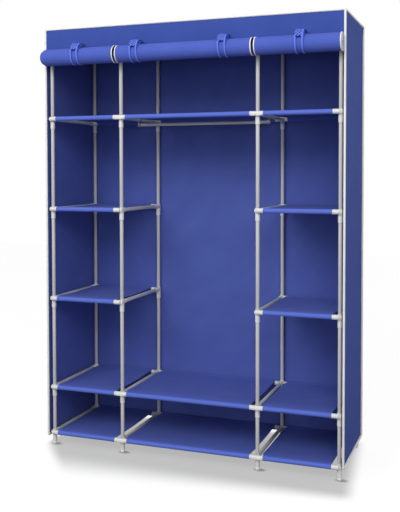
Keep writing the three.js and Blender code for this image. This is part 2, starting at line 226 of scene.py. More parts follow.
# Uprights and depth tubes
# Round steel tube 15 mm across, cut to length and powder-coated light grey. Each upright
# is a stack of short lengths, and a depth tube ties each pair of uprights at every level.
COLUMNS = dict(zip(("side_frame_left", "divider_frame_left", "divider_frame_right",
                    "side_frame_right"), FEET_X))
REAR_Y = 0.2293
ROWS = {"front": FRONT_Y, "rear": REAR_Y}
GRID_LEVEL = 1.7495
TUBE_RADIUS = 0.0075
TUBE_WALL = 0.0006
TUBE_SIDES = 32
TUBE_ANGLE = 35
RIM_ROUND = 0.00015
SLEEVE_DROP = 0.041
ARM_REACH = 0.027
CROSS_OFFSET = 0.016
TUBE_SEAT = 0.019
SHARP_ANGLE = 1


def apply_modifier(piece, kind, **settings):
    """Put a modifier on a piece and apply it at once."""
    modifier = piece.modifiers.new(kind.lower(), kind)
    for name, value in settings.items():
        setattr(modifier, name, value)
    bpy.context.view_layer.objects.active = piece
    bpy.ops.object.modifier_apply(modifier=modifier.name)


def select_in_edit(piece, kind, passes):
    """In edit mode, select only the faces or edges that pass a test."""
    bpy.ops.mesh.select_mode(type=kind)
    bpy.ops.mesh.select_all(action="DESELECT")
    mesh = bmesh.from_edit_mesh(piece.data)
    for part in mesh.faces if kind == "FACE" else mesh.edges:
        if passes(part):
            part.select_set(True)
    bmesh.update_edit_mesh(piece.data)


def round_sharp_edges(piece, radius):
    """In edit mode, round a piece's edges that turn by more than SHARP_ANGLE radians."""
    select_in_edit(piece, "EDGE", lambda edge: edge.calc_face_angle(0) > SHARP_ANGLE)
    bpy.ops.mesh.bevel(offset=radius, segments=2)


def shade_round(piece, degrees):
    """Shade a piece smooth, apart from edges sharper than an angle."""
    piece.select_set(True)
    bpy.ops.object.shade_smooth_by_angle(angle=math.radians(degrees))
    piece.select_set(False)


def model_tube(length, radius, wall):
    """A straight tube that stands on the origin, its rims deburred."""
    bpy.ops.mesh.primitive_cylinder_add(
        vertices=TUBE_SIDES, radius=radius, depth=length, end_fill_type="NOTHING")
    tube = bpy.context.object
    tube.data.transform(Matrix.Translation((0, 0, length / 2)))
    apply_modifier(tube, "SOLIDIFY", thickness=wall, offset=-1)
    bpy.ops.object.mode_set(mode="EDIT")
    round_sharp_edges(tube, RIM_ROUND)
    bpy.ops.object.mode_set(mode="OBJECT")
    shade_round(tube, TUBE_ANGLE)
    return tube


def copy_piece(model, name, material, matrix, slot, stands_for, body="wardrobe"):
    """A copy of a model with its own mesh, put in place, finished and fixed to its body."""
    piece = model.copy()
    piece.data = model.data.copy()
    piece.name = piece.data.name = name
    piece.data.transform(matrix)
    piece.data.materials.clear()
    piece.data.materials.append(material)
    bpy.context.scene.collection.objects.link(piece)
    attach(piece, body)
    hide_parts(stands_for)
    return piece


def start_material(name):
    """A new material, with its node tree, its shader and the place on the piece."""
    material = bpy.data.materials.new(name)
    material.use_nodes = True
    tree = material.node_tree
    place = add_node(tree, "ShaderNodeTexCoord").outputs["Object"]
    return material, tree, tree.nodes["Principled BSDF"], place


# Powder-coated mild steel: an even light grey with a soft satin gloss, a faint orange peel
# about 1.5 mm across, drawn coarse enough to show, and clouds 70 mm across in the coat.
powder_coat, tree, shader, place = start_material("powder_coated_steel_tube")
clouds = add_node(tree, "ShaderNodeTexNoise", {"Vector": place, "Scale": 14.0, "Detail": 3.0})
coat = add_node(tree, "ShaderNodeMix", {
    "Factor": clouds.outputs["Fac"], 6: hex_colour("B6B6B4"), 7: hex_colour("C4C4C1")},
    data_type="RGBA")
peel = add_node(tree, "ShaderNodeTexNoise", {"Vector": place, "Scale": 650.0, "Detail": 2.0})
gloss = add_node(tree, "ShaderNodeMapRange", {
    "Value": clouds.outputs["Fac"], "To Min": 0.34, "To Max": 0.46})
relief = add_node(tree, "ShaderNodeBump", {
    "Height": peel.outputs["Fac"], "Strength": 0.25, "Distance": 0.0002})
set_inputs(tree, shader, {
    "Base Color": coat.outputs[2], "Roughness": gloss.outputs["Result"],
    "Normal": relief.outputs["Normal"]})


def axis_of(node):
    """The middle of a CAD node's box, which is a straight bar's axis at half its length."""
    low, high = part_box(node)
    return (low + high) / 2


left_levels = [axis_of(f"rod_front_left_{level}").z for level in range(1, 6)]
right_levels = [axis_of(f"rod_front_right_{level}").z for level in range(1, 6)]
levels_of = dict(zip(COLUMNS, (left_levels, left_levels, right_levels, right_levels)))
tube_models = {}


def lay_tube(name, start, end, radius=TUBE_RADIUS, wall=TUBE_WALL, **fixing):
    """A tube from start to end: each length is modelled once and then copied."""
    run = Vector(end) - Vector(start)
    size = (round(run.length, 5), radius)
    if size not in tube_models:
        tube_models[size] = model_tube(size[0], radius, wall)
    turn = run.to_track_quat("Z", "Y").to_matrix().to_4x4()
    return copy_piece(tube_models[size], name, powder_coat,
                      Matrix.Translation(start) @ turn, **fixing)


for number, (node, x) in enumerate(COLUMNS.items(), 1):
    levels = levels_of[node]
    for row, y in ROWS.items():
        for tier, (low, high) in enumerate(zip(levels, levels[1:] + [GRID_LEVEL]), 1):
            lay_tube(f"upright_{row}_{number}_{tier}", (x, y, low),
                     (x, y, high - SLEEVE_DROP + TUBE_SEAT), slot="frame_tube", stands_for=node)
    for tier, level in enumerate(levels, 1):
        lay_tube(f"depth_tube_{number}_{tier}", (x, FRONT_Y + ARM_REACH - TUBE_SEAT, level),
                 (x, REAR_Y - CROSS_OFFSET - ARM_REACH + TUBE_SEAT, level),
                 slot="frame_tube", stands_for=node)


# Connectors
# White polypropylene, injection-moulded in one piece: a sleeve that drops over the upright,
# one or two arms for the shelf rods set ahead of it, and an arm for the depth tube.
SOCKET_RADIUS = 0.0093
SOCKET_WALL = 0.0015
SOCKET_SIDES = 28
MOUTH_DEPTH = 0.004
COLLAR_LENGTH = 0.0045
COLLAR_STEP = 0.0003
MOULD_ROUND = 0.0005
MOULD_ANGLE = 32


def model_stub(start, end):
    """A round stub of a connector, with a collar and a hollow mouth at its far end."""
    run = Vector(end) - Vector(start)
    plain = run.length - COLLAR_LENGTH
    bpy.ops.mesh.primitive_cylinder_add(
        vertices=SOCKET_SIDES, radius=SOCKET_RADIUS, depth=plain)
    stub = bpy.context.object
    stub.data.transform(Matrix.Translation((0, 0, plain / 2)))
    bpy.ops.object.mode_set(mode="EDIT")
    select_in_edit(stub, "FACE", lambda face: face.normal.z > 0.9)
    bpy.ops.mesh.extrude_region_move(TRANSFORM_OT_translate={"value": (0, 0, COLLAR_STEP)})
    widen = 1 + COLLAR_STEP / SOCKET_RADIUS
    bpy.ops.transform.resize(value=(widen, widen, 1))
    bpy.ops.mesh.extrude_region_move(
        TRANSFORM_OT_translate={"value": (0, 0, COLLAR_LENGTH - COLLAR_STEP)})
    bpy.ops.mesh.inset(thickness=SOCKET_WALL)
    bpy.ops.mesh.extrude_region_move(TRANSFORM_OT_translate={"value": (0, 0, -MOUTH_DEPTH)})
    round_sharp_edges(stub, MOULD_ROUND)
    bpy.ops.object.mode_set(mode="OBJECT")
    turn = run.to_track_quat("Z", "Y").to_matrix().to_4x4()
    stub.data.transform(Matrix.Translation(start) @ turn)
    return stub


def clear_away(models):
    """Remove the models that pieces were copied from or merged out of."""
    for model in models:
        bpy.data.objects.remove(model)


def merge_solids(whole, parts):
    """Merge parts into one moulded whole."""
    for part in parts:
        apply_modifier(whole, "BOOLEAN", operation="UNION", solver="EXACT", object=part)
    clear_away(parts)
    shade_round(whole, MOULD_ANGLE)


def model_connector(has_left, has_right, row, cross_y):
    """A connector of the front or rear row about its upright's axis, with its arms for rods
    at cross_y and its depth arm towards the other row."""
    sleeve = model_stub((0, 0, SOCKET_RADIUS), (0, 0, -SLEEVE_DROP))
    arms = []
    if has_left:
        arms.append(model_stub((0, cross_y, 0), (-ARM_REACH, cross_y, 0)))
    if has_right:
        root = -SOCKET_WALL if has_left else 0
        arms.append(model_stub((root, cross_y, 0), (ARM_REACH, cross_y, 0)))
    if row == "front":
        arms.append(model_stub((0, cross_y, 0), (0, ARM_REACH, 0)))
    else:
        arms.append(model_stub((0, 0, 0), (0, cross_y - ARM_REACH, 0)))
    merge_solids(sleeve, arms)
    return sleeve


# Moulded polypropylene: light sinks into it a little, its resin is clouded over 25 mm, and
# it is satin with the fine grain of the mould, 0.4 mm in the real part and drawn at 1 mm so
# that it shows.
def make_plastic(name, dark, light):
    """A polypropylene part's material, its resin clouded between two colours."""
    material, tree, shader, place = start_material(name)
    flow = add_node(tree, "ShaderNodeTexNoise", {"Vector": place, "Scale": 40.0, "Detail": 2.0})
    resin = add_node(tree, "ShaderNodeMix", {
        "Factor": flow.outputs["Fac"], 6: hex_colour(dark), 7: hex_colour(light)},
        data_type="RGBA")
    grain = add_node(tree, "ShaderNodeTexNoise", {
        "Vector": place, "Scale": 1000.0, "Detail": 1.0})
    gloss = add_node(tree, "ShaderNodeMapRange", {
        "Value": grain.outputs["Fac"], "To Min": 0.36, "To Max": 0.5})
    relief = add_node(tree, "ShaderNodeBump", {
        "Height": grain.outputs["Fac"], "Strength": 0.2, "Distance": 0.0001})
    set_inputs(tree, shader, {
        "IOR": 1.49, "Subsurface Weight": 0.08, "Subsurface Radius": (0.002, 0.002, 0.002),
        "Base Color": resin.outputs[2], "Roughness": gloss.outputs["Result"],
        "Normal": relief.outputs["Normal"]})
    return material


moulded_white = make_plastic("moulded_white_polypropylene", "D3D3D0", "DDDDDB")

# The tiers at which each bay has a shelf, and so at which the columns beside it have arms
BAYS = {"left": (1, 2, 3, 4, 5), "centre": (1, 2, 5), "right": (1, 2, 3, 4, 5)}
bays = [(), *BAYS.values(), ()]
connector_models = {}
for number, (node, x) in enumerate(COLUMNS.items(), 1):
    to_left, to_right = bays[number - 1:number + 1]
    for row, y in ROWS.items():
        for tier, level in enumerate(levels_of[node], 1):
            kind = (tier in to_left, tier in to_right, row)
            if kind not in connector_models:
                connector_models[kind] = model_connector(*kind, -CROSS_OFFSET)
            copy_piece(connector_models[kind], f"connector_{row}_{number}_{tier}",
                       moulded_white, Matrix.Translation((x, y, level)),
                       slot="clip_plastic", stands_for=node)
clear_away(connector_models.values())


# Feet
# White polypropylene plugs pushed into the lowest sleeves, their lower rims rounded where
# they stand on the floor.
FOOT_RADIUS = 0.0087
FOOT_DRAW = 0.001
FOOT_RIM = 0.003
FOOT_HEIGHT = 0.02

bpy.ops.mesh.primitive_circle_add(
    vertices=SOCKET_SIDES, radius=FOOT_RADIUS - FOOT_DRAW, fill_type="NGON")
foot_model = bpy.context.object
bpy.ops.object.mode_set(mode="EDIT")
select_in_edit(foot_model, "FACE", lambda face: True)
bpy.ops.mesh.flip_normals()
bpy.ops.mesh.extrude_region_move(TRANSFORM_OT_translate={"value": (0, 0, FOOT_RIM)})
widen = FOOT_RADIUS / (FOOT_RADIUS - FOOT_DRAW)
bpy.ops.transform.resize(value=(widen, widen, 1))
bpy.ops.mesh.extrude_region_move(TRANSFORM_OT_translate={"value": (0, 0, FOOT_HEIGHT - FOOT_RIM)})
bpy.ops.mesh.select_all(action="SELECT")
bpy.ops.mesh.normals_make_consistent(inside=False)
round_sharp_edges(foot_model, MOULD_ROUND)
bpy.ops.object.mode_set(mode="OBJECT")
shade_round(foot_model, TUBE_ANGLE)
# The same polypropylene painted a brighter white on the feet: painted light for the light that the
# floor throws up on them
painted_light_white = make_plastic("clear_white_polypropylene", "EEEEEC", "F4F4F2")
for number, (node, x) in enumerate(COLUMNS.items(), 1):
    for row, y in ROWS.items():
        copy_piece(foot_model, f"foot_{row}_{number}", painted_light_white,
                   Matrix.Translation((x, y, 0)), slot="clip_plastic", stands_for=node)
clear_away([foot_model])


# Top grid
# The same tube and connectors, with all the arms on one axis: it drops over the ends of
# the eight uprights and carries the top of the cover.
columns = list(COLUMNS.values())
top_frame = {"slot": "frame_tube", "stands_for": "top_frame"}
grid_models = {}
for row, y in ROWS.items():
    for number, x in enumerate(columns, 1):
        kind = (number > 1, number < len(columns), row)
        if kind not in grid_models:
            grid_models[kind] = model_connector(*kind, 0)
        copy_piece(grid_models[kind], f"grid_connector_{row}_{number}", moulded_white,
                   Matrix.Translation((x, y, GRID_LEVEL)),
                   slot="clip_plastic", stands_for="top_frame")
    for number, (left, right) in enumerate(zip(columns, columns[1:]), 1):
        lay_tube(f"grid_tube_{row}_{number}", (left + ARM_REACH - TUBE_SEAT, y, GRID_LEVEL),
                 (right - ARM_REACH + TUBE_SEAT, y, GRID_LEVEL), **top_frame)
for number, x in enumerate(columns, 1):
    lay_tube(f"grid_depth_tube_{number}", (x, FRONT_Y + ARM_REACH - TUBE_SEAT, GRID_LEVEL),
             (x, REAR_Y - ARM_REACH + TUBE_SEAT, GRID_LEVEL), **top_frame)
clear_away(grid_models.values())


# Shelf rods
# The same steel tube, one through the front and one through the rear sleeve of each
# shelf, with its ends pushed into the cross arms of the connectors.
SHELVES = [f"{bay}_{tier}" for bay, tiers in BAYS.items() for tier in tiers]


def ends_of(node):
    """The two ends of a CAD bar that runs along X, on its axis."""
    low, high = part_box(node)
    axis = axis_of(node)
    return (low.x, axis.y, axis.z), (high.x, axis.y, axis.z)


for shelf in SHELVES:
    for row in ROWS:
        node = f"rod_{row}_{shelf}"
        lay_tube(f"shelf_rod_{row}_{shelf}", *ends_of(node), slot="rod_tube", stands_for=node)


# Shelves
# One piece of blue polyester cloth each, its front and rear edge folded round the rod and
# sewn down to make a sleeve. The ends are hemmed, and the cloth between the rods sags.
SLEEVE_RADIUS = 0.0087
SHELF_CLOTH = 0.001
SHELF_CELL = 0.02
SHELF_ROWS = 24
CLOTH_ANGLE = 50
SLEEVE_STEPS = 20
CLOSE_STEPS = 2
SLEEVE_CLOSE = 0.013
SLEEVE_LEAVE = math.pi / 2 - 2 * math.atan(SLEEVE_RADIUS / SLEEVE_CLOSE)
SLEEVE_TURN = 1.5 * math.pi - SLEEVE_LEAVE
SEAM_FLAP = 0.012
LAYER_GAP = 0.0014
HEM_WIDTH = 0.008
HEM_STEP = 0.0003
SHELF_SAG = 0.005
SAG_UNEVEN = 0.0016
SAG_START = 0.008
SAG_EASE = 0.02
HEM_REACH = {"left": 0.007, "centre": 0.012, "right": 0.009}
HEM_EASE = 0.09
HIGHLIGHT_START = 0.001
HIGHLIGHT_EASE = 0.006
FRONT_HIGHLIGHT = 0.4
FRONT_HIGHLIGHT_EASE = 0.11
# The wave texture's period at a scale of 1
WAVE_PERIOD = 0.314


def ease(value):
    """A smooth step from 0 to 1."""
    value = min(max(value, 0), 1)
    return value * value * (3 - 2 * value)


def model_shelf(length, depth):
    """A shelf along X about its front rod's axis, still flat between its closed sleeves."""
    bpy.ops.mesh.primitive_grid_add(
        x_subdivisions=round(length / SHELF_CELL), y_subdivisions=SHELF_ROWS, size=1)
    shelf = bpy.context.object
    shelf.data.transform(Matrix.Translation((0, depth / 2, SLEEVE_RADIUS))
                         @ Matrix.Diagonal((length, depth, 1, 1)))
    bpy.ops.object.mode_set(mode="EDIT")
    for y, way in ((0, 1), (depth, -1)):
        select_in_edit(shelf, "EDGE", lambda edge: all(
            abs(v.co.y - y) < 1e-5 and v.co.z > 0 for v in edge.verts))
        bpy.ops.mesh.spin(steps=SLEEVE_STEPS, angle=-way * SLEEVE_TURN, center=(0, y, 0),
                          axis=(1, 0, 0))
        leave = Vector((0, way * math.cos(SLEEVE_LEAVE), -math.sin(SLEEVE_LEAVE))) * SLEEVE_RADIUS
        seam = Vector((0, way * SLEEVE_CLOSE, SLEEVE_RADIUS - LAYER_GAP))
        for step in range(CLOSE_STEPS):
            bpy.ops.mesh.extrude_edges_move(
                TRANSFORM_OT_translate={"value": (seam - leave) / CLOSE_STEPS})
        bpy.ops.mesh.extrude_edges_move(TRANSFORM_OT_translate={"value": (0, way * SEAM_FLAP, 0)})
    for side in (-1, 1):
        bpy.ops.mesh.select_all(action="SELECT")
        bpy.ops.mesh.bisect(plane_co=(side * (length / 2 - HEM_WIDTH), 0, 0), plane_no=(1, 0, 0))
    bpy.ops.object.mode_set(mode="OBJECT")
    apply_modifier(shelf, "SOLIDIFY", thickness=SHELF_CLOTH, offset=0)
    bpy.ops.object.mode_set(mode="EDIT")
    select_in_edit(
        shelf, "FACE", lambda face: abs(face.calc_center_median().x) > length / 2 - HEM_WIDTH)
    bpy.ops.transform.shrink_fatten(value=HEM_STEP)
    bpy.ops.object.mode_set(mode="OBJECT")
    # Painted highlight: the cloth is painted pale where it wraps the rods, and a little paler some
    # way in from the front
    painted_highlight = shelf.data.attributes.new("painted_highlight", "FLOAT", "POINT")
    for vertex, value in zip(shelf.data.vertices, painted_highlight.data):
        inside = min(vertex.co.y, depth - vertex.co.y)
        value.value = max(1 - ease((inside - HIGHLIGHT_START) / HIGHLIGHT_EASE),
                          FRONT_HIGHLIGHT * ease(1 - vertex.co.y / FRONT_HIGHLIGHT_EASE))
    shade_round(shelf, CLOTH_ANGLE)
    return shelf


def sag_shelf(shelf, front, depth, left_end, give):
    """Let the cloth between the sleeves of a shelf in place hang down, a little unevenly,
    and its left hem reach out where the sleeves don't hold it in."""
    for vertex in shelf.data.vertices:
        reach = vertex.co.y - front.y
        inside = ease((min(reach, depth - reach) - SAG_START) / SAG_EASE)
        if inside > 0:
            vertex.co.x -= give * inside * ease(1 - (vertex.co.x - left_end) / HEM_EASE)
            # A bow 1 deep half way, uneven over a hand's breadth and from shelf to shelf
            bow = 4 * (reach / depth) * (1 - reach / depth)
            slack = noise.noise(Vector((vertex.co.x * 7, reach * 9, front.z * 5)))
            vertex.co.z -= inside * bow * (SHELF_SAG + SAG_UNEVEN * slack)


def add_weave(tree, place, pitch):
    """Ribs along all three axes, a pitch apart, added up: threads on a face of any slope."""
    total = 0.0
    for axis in "XYZ":
        ribs = add_node(tree, "ShaderNodeTexWave", {
            "Vector": place, "Scale": WAVE_PERIOD / pitch}, bands_direction=axis)
        total = add_node(tree, "ShaderNodeMath", {0: total, 1: ribs.outputs["Fac"]},
                         operation="ADD").outputs["Value"]
    return total


def make_cloth(name, dark, light, highlight_colour=None, gloss=0.3):
    """Plain-woven polyester, dyed blue: matt, with a slight bloom of loose fibre ends. Where
    the mesh's painted highlight attribute says so, its colour is painted paler as painted light."""
    material, tree, shader, place = start_material(name)
    # The threads are 0.35 mm apart, drawn at 1.1 mm so that they show
    weave = add_weave(tree, place, 0.0011)
    # Dye takes unevenly over a hand's breadth, 110 mm, and from thread to thread, 2.4 mm
    dye = add_node(tree, "ShaderNodeTexNoise", {"Vector": place, "Scale": 9.0, "Detail": 4.0})
    slub = add_node(tree, "ShaderNodeTexNoise", {"Vector": place, "Scale": 420.0, "Detail": 2.0})
    shade = add_node(tree, "ShaderNodeMath", {
        0: dye.outputs["Fac"], 1: slub.outputs["Fac"]}, operation="ADD")
    fine = add_node(tree, "ShaderNodeMath", {
        0: weave, 1: 0.12, 2: shade.outputs["Value"]}, operation="MULTIPLY_ADD")
    dyed = add_node(tree, "ShaderNodeMapRange", {
        "Value": fine.outputs["Value"], "From Min": 0.75, "From Max": 1.6})
    colour = add_node(tree, "ShaderNodeMix", {
        "Factor": dyed.outputs["Result"], 6: hex_colour(dark), 7: hex_colour(light)},
        data_type="RGBA")
    if highlight_colour:
        highlight_mask = add_node(tree, "ShaderNodeAttribute", attribute_name="painted_highlight")
        colour = add_node(tree, "ShaderNodeMix", {
            "Factor": highlight_mask.outputs["Fac"], 6: colour.outputs[2], 7: hex_colour(highlight_colour)},
            data_type="RGBA")
    relief = add_node(tree, "ShaderNodeBump", {
        "Height": weave, "Strength": 0.35, "Distance": 0.0002})
    set_inputs(tree, shader, {
        "Roughness": 0.82, "Specular IOR Level": gloss, "Sheen Weight": 0.03,
        "Sheen Roughness": 0.5, "Base Color": colour.outputs[2],
        "Normal": relief.outputs["Normal"]})
    return material


# The shelves' cloth has a painted highlight: light blue over the rods and near the front
shelf_cloth = make_cloth("blue_woven_polyester_shelf", "4354A2", "4D5FB2", highlight_colour="566BC9")
shelf_models = {}
for shelf in SHELVES:
    front = axis_of(f"rod_front_{shelf}")
    rear = axis_of(f"rod_rear_{shelf}")
    low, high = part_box(f"shelf_{shelf}")
    depth = rear.y - front.y
    width = round(high.x - low.x, 5)
    if width not in shelf_models:
        shelf_models[width] = model_shelf(width, depth)
    piece = copy_piece(shelf_models[width], f"shelf_panel_{shelf}", shelf_cloth,
                       Matrix.Translation(front), slot="shelf_cloth", stands_for=f"shelf_{shelf}")
    sag_shelf(piece, front, depth, low.x, HEM_REACH[shelf.split("_")[0]])
clear_away(shelf_models.values())


# Hanging rail
# A thinner steel tube across the centre bay. It lies in the rings of two polypropylene
# clips that snap over the upper depth tubes, and slides with them to the front and back.
RAIL_RADIUS = 0.0065
RAIL_WALL = 0.0008
RAIL_FIT = 0.0003
CLIP_WALL = 0.0018
CLIP_WIDTH = 0.012
CLIP_ROUND = 0.0007
CLIP_WRAP = 1.5 * math.pi
CLIP_START = -math.pi / 4
CLIP_STEPS = 28
NECK_WIDTH = 0.0096
NECK_THICKNESS = 0.0027
RAIL_DROP = 0.022

rail = axis_of("hanging_rail")
lay_tube("hanging_rail_tube", *ends_of("hanging_rail"), radius=RAIL_RADIUS, wall=RAIL_WALL,
         body="rail", slot="rod_tube", stands_for="hanging_rail")
clear_away(tube_models.values())


def model_band(radius, angle=2 * math.pi, start=0):
    """A band of the clip's width and wall, spun round X from a start angle."""
    bpy.ops.mesh.primitive_plane_add(size=1)
    band = bpy.context.object
    band.data.transform(Matrix.Rotation(start, 4, "X")
                        @ Matrix.Translation((0, radius + CLIP_WALL / 2, 0))
                        @ Matrix.Diagonal((CLIP_WIDTH, CLIP_WALL, 1, 1)))
    bpy.ops.object.mode_set(mode="EDIT")
    bpy.ops.mesh.select_all(action="SELECT")
    bpy.ops.mesh.spin(steps=CLIP_STEPS, angle=-angle, center=(0, 0, 0), axis=(1, 0, 0))
    if angle == 2 * math.pi:
        # A closed ring: its two ends meet in one face, which goes
        bpy.ops.mesh.select_all(action="SELECT")
        bpy.ops.mesh.remove_doubles(threshold=0.00005)
        select_in_edit(band, "FACE", lambda face: abs(face.normal.x) < 0.1 and abs(
            face.normal.dot(face.calc_center_median().normalized())) < 0.1)
        bpy.ops.mesh.delete(type="FACE")
    bpy.ops.mesh.select_all(action="SELECT")
    bpy.ops.mesh.normals_make_consistent(inside=False)
    round_sharp_edges(band, CLIP_ROUND)
    bpy.ops.object.mode_set(mode="OBJECT")
    return band


# The same polypropylene, dyed grey in the mass
moulded_grey = make_plastic("moulded_grey_polypropylene", "8C8C8C", "969696")
for side, way in (("left", 1), ("right", -1)):
    node = f"rail_clip_{side}"
    x = COLUMNS[f"divider_frame_{side}"]
    hook = model_band(TUBE_RADIUS + RAIL_FIT, CLIP_WRAP, CLIP_START)
    hook.data.transform(Matrix.Rotation(math.pi / 2, 4, "Z"))
    ring = model_band(RAIL_RADIUS + RAIL_FIT)
    ring.data.transform(Matrix.Translation((way * (CLIP_WIDTH / 2 - CLIP_WALL / 2), 0, -RAIL_DROP)))
    bpy.ops.mesh.primitive_cube_add(size=1)
    neck = bpy.context.object
    foot_of_neck = -RAIL_DROP + RAIL_RADIUS + RAIL_FIT + CLIP_WALL / 2
    head_of_neck = -TUBE_RADIUS - RAIL_FIT - CLIP_WALL / 2
    neck.data.transform(
        Matrix.Translation((way * CLIP_WALL / 4, 0, (foot_of_neck + head_of_neck) / 2))
        @ Matrix.Diagonal((NECK_THICKNESS, NECK_WIDTH, head_of_neck - foot_of_neck, 1)))
    bpy.ops.object.mode_set(mode="EDIT")
    select_in_edit(neck, "EDGE", lambda edge: True)
    bpy.ops.mesh.bevel(offset=CLIP_ROUND / 2, segments=2)
    bpy.ops.object.mode_set(mode="OBJECT")
    merge_solids(neck, [hook, ring])
    copy_piece(neck, f"hook_clip_{side}", moulded_grey,
               Matrix.Translation((x, rail.y, rail.z + RAIL_DROP)),
               body="rail", slot="clip_plastic", stands_for=node)
    clear_away([neck])


# Cover
# Five flat panels of the same cloth, sewn edge to edge into a bag that drops over the
# frame. They still show the long shallow ripples of a cloth that was folded for sale.
COVER_CLOTH = 0.0009
COVER_TUCK = 0.0022
LEFT_DROP = 0.01
RIGHT_INSET = 0.0045
INSET_EASE = 0.06
EDGE_EASE = 0.07
RIPPLE_HEIGHT = 0.0014
RIPPLE_LENGTH = 0.15
RIPPLE_BEND = 0.12
CELL = 0.022


def make_panel(node, name, out, arc_centre, drop=0, inset=0):
    """A panel that fills its CAD solid's place and reaches into the binding at its edges, with
    ripples in arcs about a far point. Its lower front corner hangs lower by drop, and all but
    its top edge lies inset behind the binding."""
    low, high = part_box(node)
    low, high = Vector(low), Vector(high)
    thin = max(range(3), key=lambda axis: abs(out[axis]))
    wide = [axis for axis in range(3) if axis != thin]
    for axis in wide:
        low[axis] -= COVER_TUCK
        high[axis] += COVER_TUCK
    size = high - low
    middle = (low + high) / 2
    width, height = size[wide[0]], size[wide[1]]
    bpy.ops.mesh.primitive_grid_add(
        x_subdivisions=round(width / CELL), y_subdivisions=round(height / CELL), size=1)
    panel = bpy.context.object
    panel.name = panel.data.name = name
    for vertex in panel.data.vertices:
        share = vertex.co.copy()
        margin = min(0.5 - abs(share.x), 0.5 - abs(share.y))
        free = ease(margin * min(width, height) / EDGE_EASE)
        spot = middle.copy()
        spot[wide[0]] += share.x * width
        spot[wide[1]] += share.y * height
        # The ripples bend, rise and fall over 300 to 400 mm
        far = (spot - Vector(arc_centre)).length
        bend = noise.noise(spot * 2.3) * RIPPLE_BEND
        wave = math.sin(2 * math.pi * (far + bend) / RIPPLE_LENGTH)
        swell = noise.noise(spot * 3.1 + Vector((5, 1, 2)))
        ripple = RIPPLE_HEIGHT * (0.55 * wave * (0.4 + 0.6 * swell) + swell)
        sunk = inset * ease((high.z - spot.z) / INSET_EASE)
        spot[thin] += out[thin] * (free * ripple - sunk)
        if drop:
            spot.z -= drop * (high.y - spot.y) / size.y * (high.z - spot.z) / size.z
        vertex.co = spot
    bpy.ops.object.mode_set(mode="EDIT")
    if panel.data.polygons[0].normal.dot(Vector(out)) < 0:
        bpy.ops.mesh.select_all(action="SELECT")
        bpy.ops.mesh.flip_normals()
    bpy.ops.object.mode_set(mode="OBJECT")
    panel.data.materials.append(cover_cloth)
    panel.data.materials.append(cover_lining)
    apply_modifier(panel, "SOLIDIFY", thickness=COVER_CLOTH, offset=0, material_offset=1)
    shade_round(panel, CLOTH_ANGLE)
    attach(panel, "wardrobe")
    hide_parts(node)


# The cover is a deeper blue and has less gloss than the shelves. Its two faces are painted as
# shaded and lit copies of one cloth: the outer face darker, the inner face a little paler.
cover_cloth = make_cloth("blue_woven_polyester_cover", "374A94", "3E539F", gloss=0.05)
cover_lining = make_cloth("blue_inner_face_painted_paler", "43529C", "4D5DA9")
make_panel("cover_left", "left_panel", (-1, 0, 0), (-0.63, -0.9, 2.1), drop=LEFT_DROP)
make_panel("cover_right", "right_panel", (1, 0, 0), (0.63, 1.2, 0.1), inset=RIGHT_INSET)
make_panel("cover_back", "back_panel", (0, 1, 0), (-1.1, 0.24, 2.2))
make_panel("cover_top", "top_panel", (0, 0, 1), (0.9, -0.8, 1.76))
make_panel("cover_header", "header_panel", (0, -1, 0), (0.4, -0.17, 3.2))


# Edge binding
# White polyester tape folded over the raw edges where two panels meet and sewn through,
# which leaves a firm round cord along every edge of the cover.
BINDING_RADIUS = 0.0044
BINDING_INSET = 0.0041
BINDING_TURN = 0.006
TURN_STEPS = 4
SEAM_INSET = 0.0016
FRONT_LEAN = 0.0015
SEAM_END = 0.012


def lay_binding(name, corners, closed=False, cloth=None):
    """A cord of tape, or of the cloth given, through corners, which it rounds, as one length
    with its own ends."""
    bpy.ops.curve.primitive_bezier_curve_add()
    line = bpy.context.object
    line.name = name
    line.data.splines.clear()
    points = []
    for index, corner in enumerate(corners):
        corner = Vector(corner)
        if not closed and index in (0, len(corners) - 1):
            points.append(corner)
            continue
        before = (Vector(corners[index - 1]) - corner).normalized()
        after = (Vector(corners[(index + 1) % len(corners)]) - corner).normalized()
        start = corner + before * BINDING_TURN
        end = corner + after * BINDING_TURN
        for step in range(TURN_STEPS + 1):
            share = step / TURN_STEPS
            points.append(start * (1 - share) ** 2 + corner * 2 * share * (1 - share)
                          + end * share ** 2)
    spline = line.data.splines.new("POLY")
    spline.points.add(len(points) - 1)
    for point, spot in zip(spline.points, points):
        point.co = (*spot, 1)
    spline.use_cyclic_u = closed
    line.data.dimensions = "3D"
    line.data.bevel_depth = BINDING_RADIUS
    line.data.bevel_resolution = 4
    line.data.use_fill_caps = True
    bpy.ops.object.convert(target="MESH")
    cord = bpy.context.object
    cord.data.materials.append(cloth or bound_tape)
    bpy.ops.object.shade_smooth()
    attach(cord, "wardrobe")
    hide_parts("edge_binding")
    cord.select_set(False)


# Woven polyester tape: cream white, matt, ribbed across every 0.9 mm, which is drawn at
# 1.6 mm so that it shows, and a little greyer in the hollows where dust settles.
bound_tape, tree, shader, place = start_material("white_woven_polyester_tape")
ribs = add_weave(tree, place, 0.0016)
wear = add_node(tree, "ShaderNodeTexNoise", {"Vector": place, "Scale": 25.0, "Detail": 3.0})
tone = add_node(tree, "ShaderNodeMath", {
    0: ribs, 1: 0.15, 2: wear.outputs["Fac"]}, operation="MULTIPLY_ADD")
clean = add_node(tree, "ShaderNodeMapRange", {
    "Value": tone.outputs["Value"], "From Min": 0.4, "From Max": 1.1})
colour = add_node(tree, "ShaderNodeMix", {
    "Factor": clean.outputs["Result"], 6: hex_colour("DEDCD7"), 7: hex_colour("ECEAE6")},
    data_type="RGBA")
relief = add_node(tree, "ShaderNodeBump", {
    "Height": ribs, "Strength": 0.4, "Distance": 0.0002})
set_inputs(tree, shader, {
    "Roughness": 0.78, "Specular IOR Level": 0.3, "Sheen Weight": 0.1,
    "Base Color": colour.outputs[2], "Normal": relief.outputs["Normal"]})

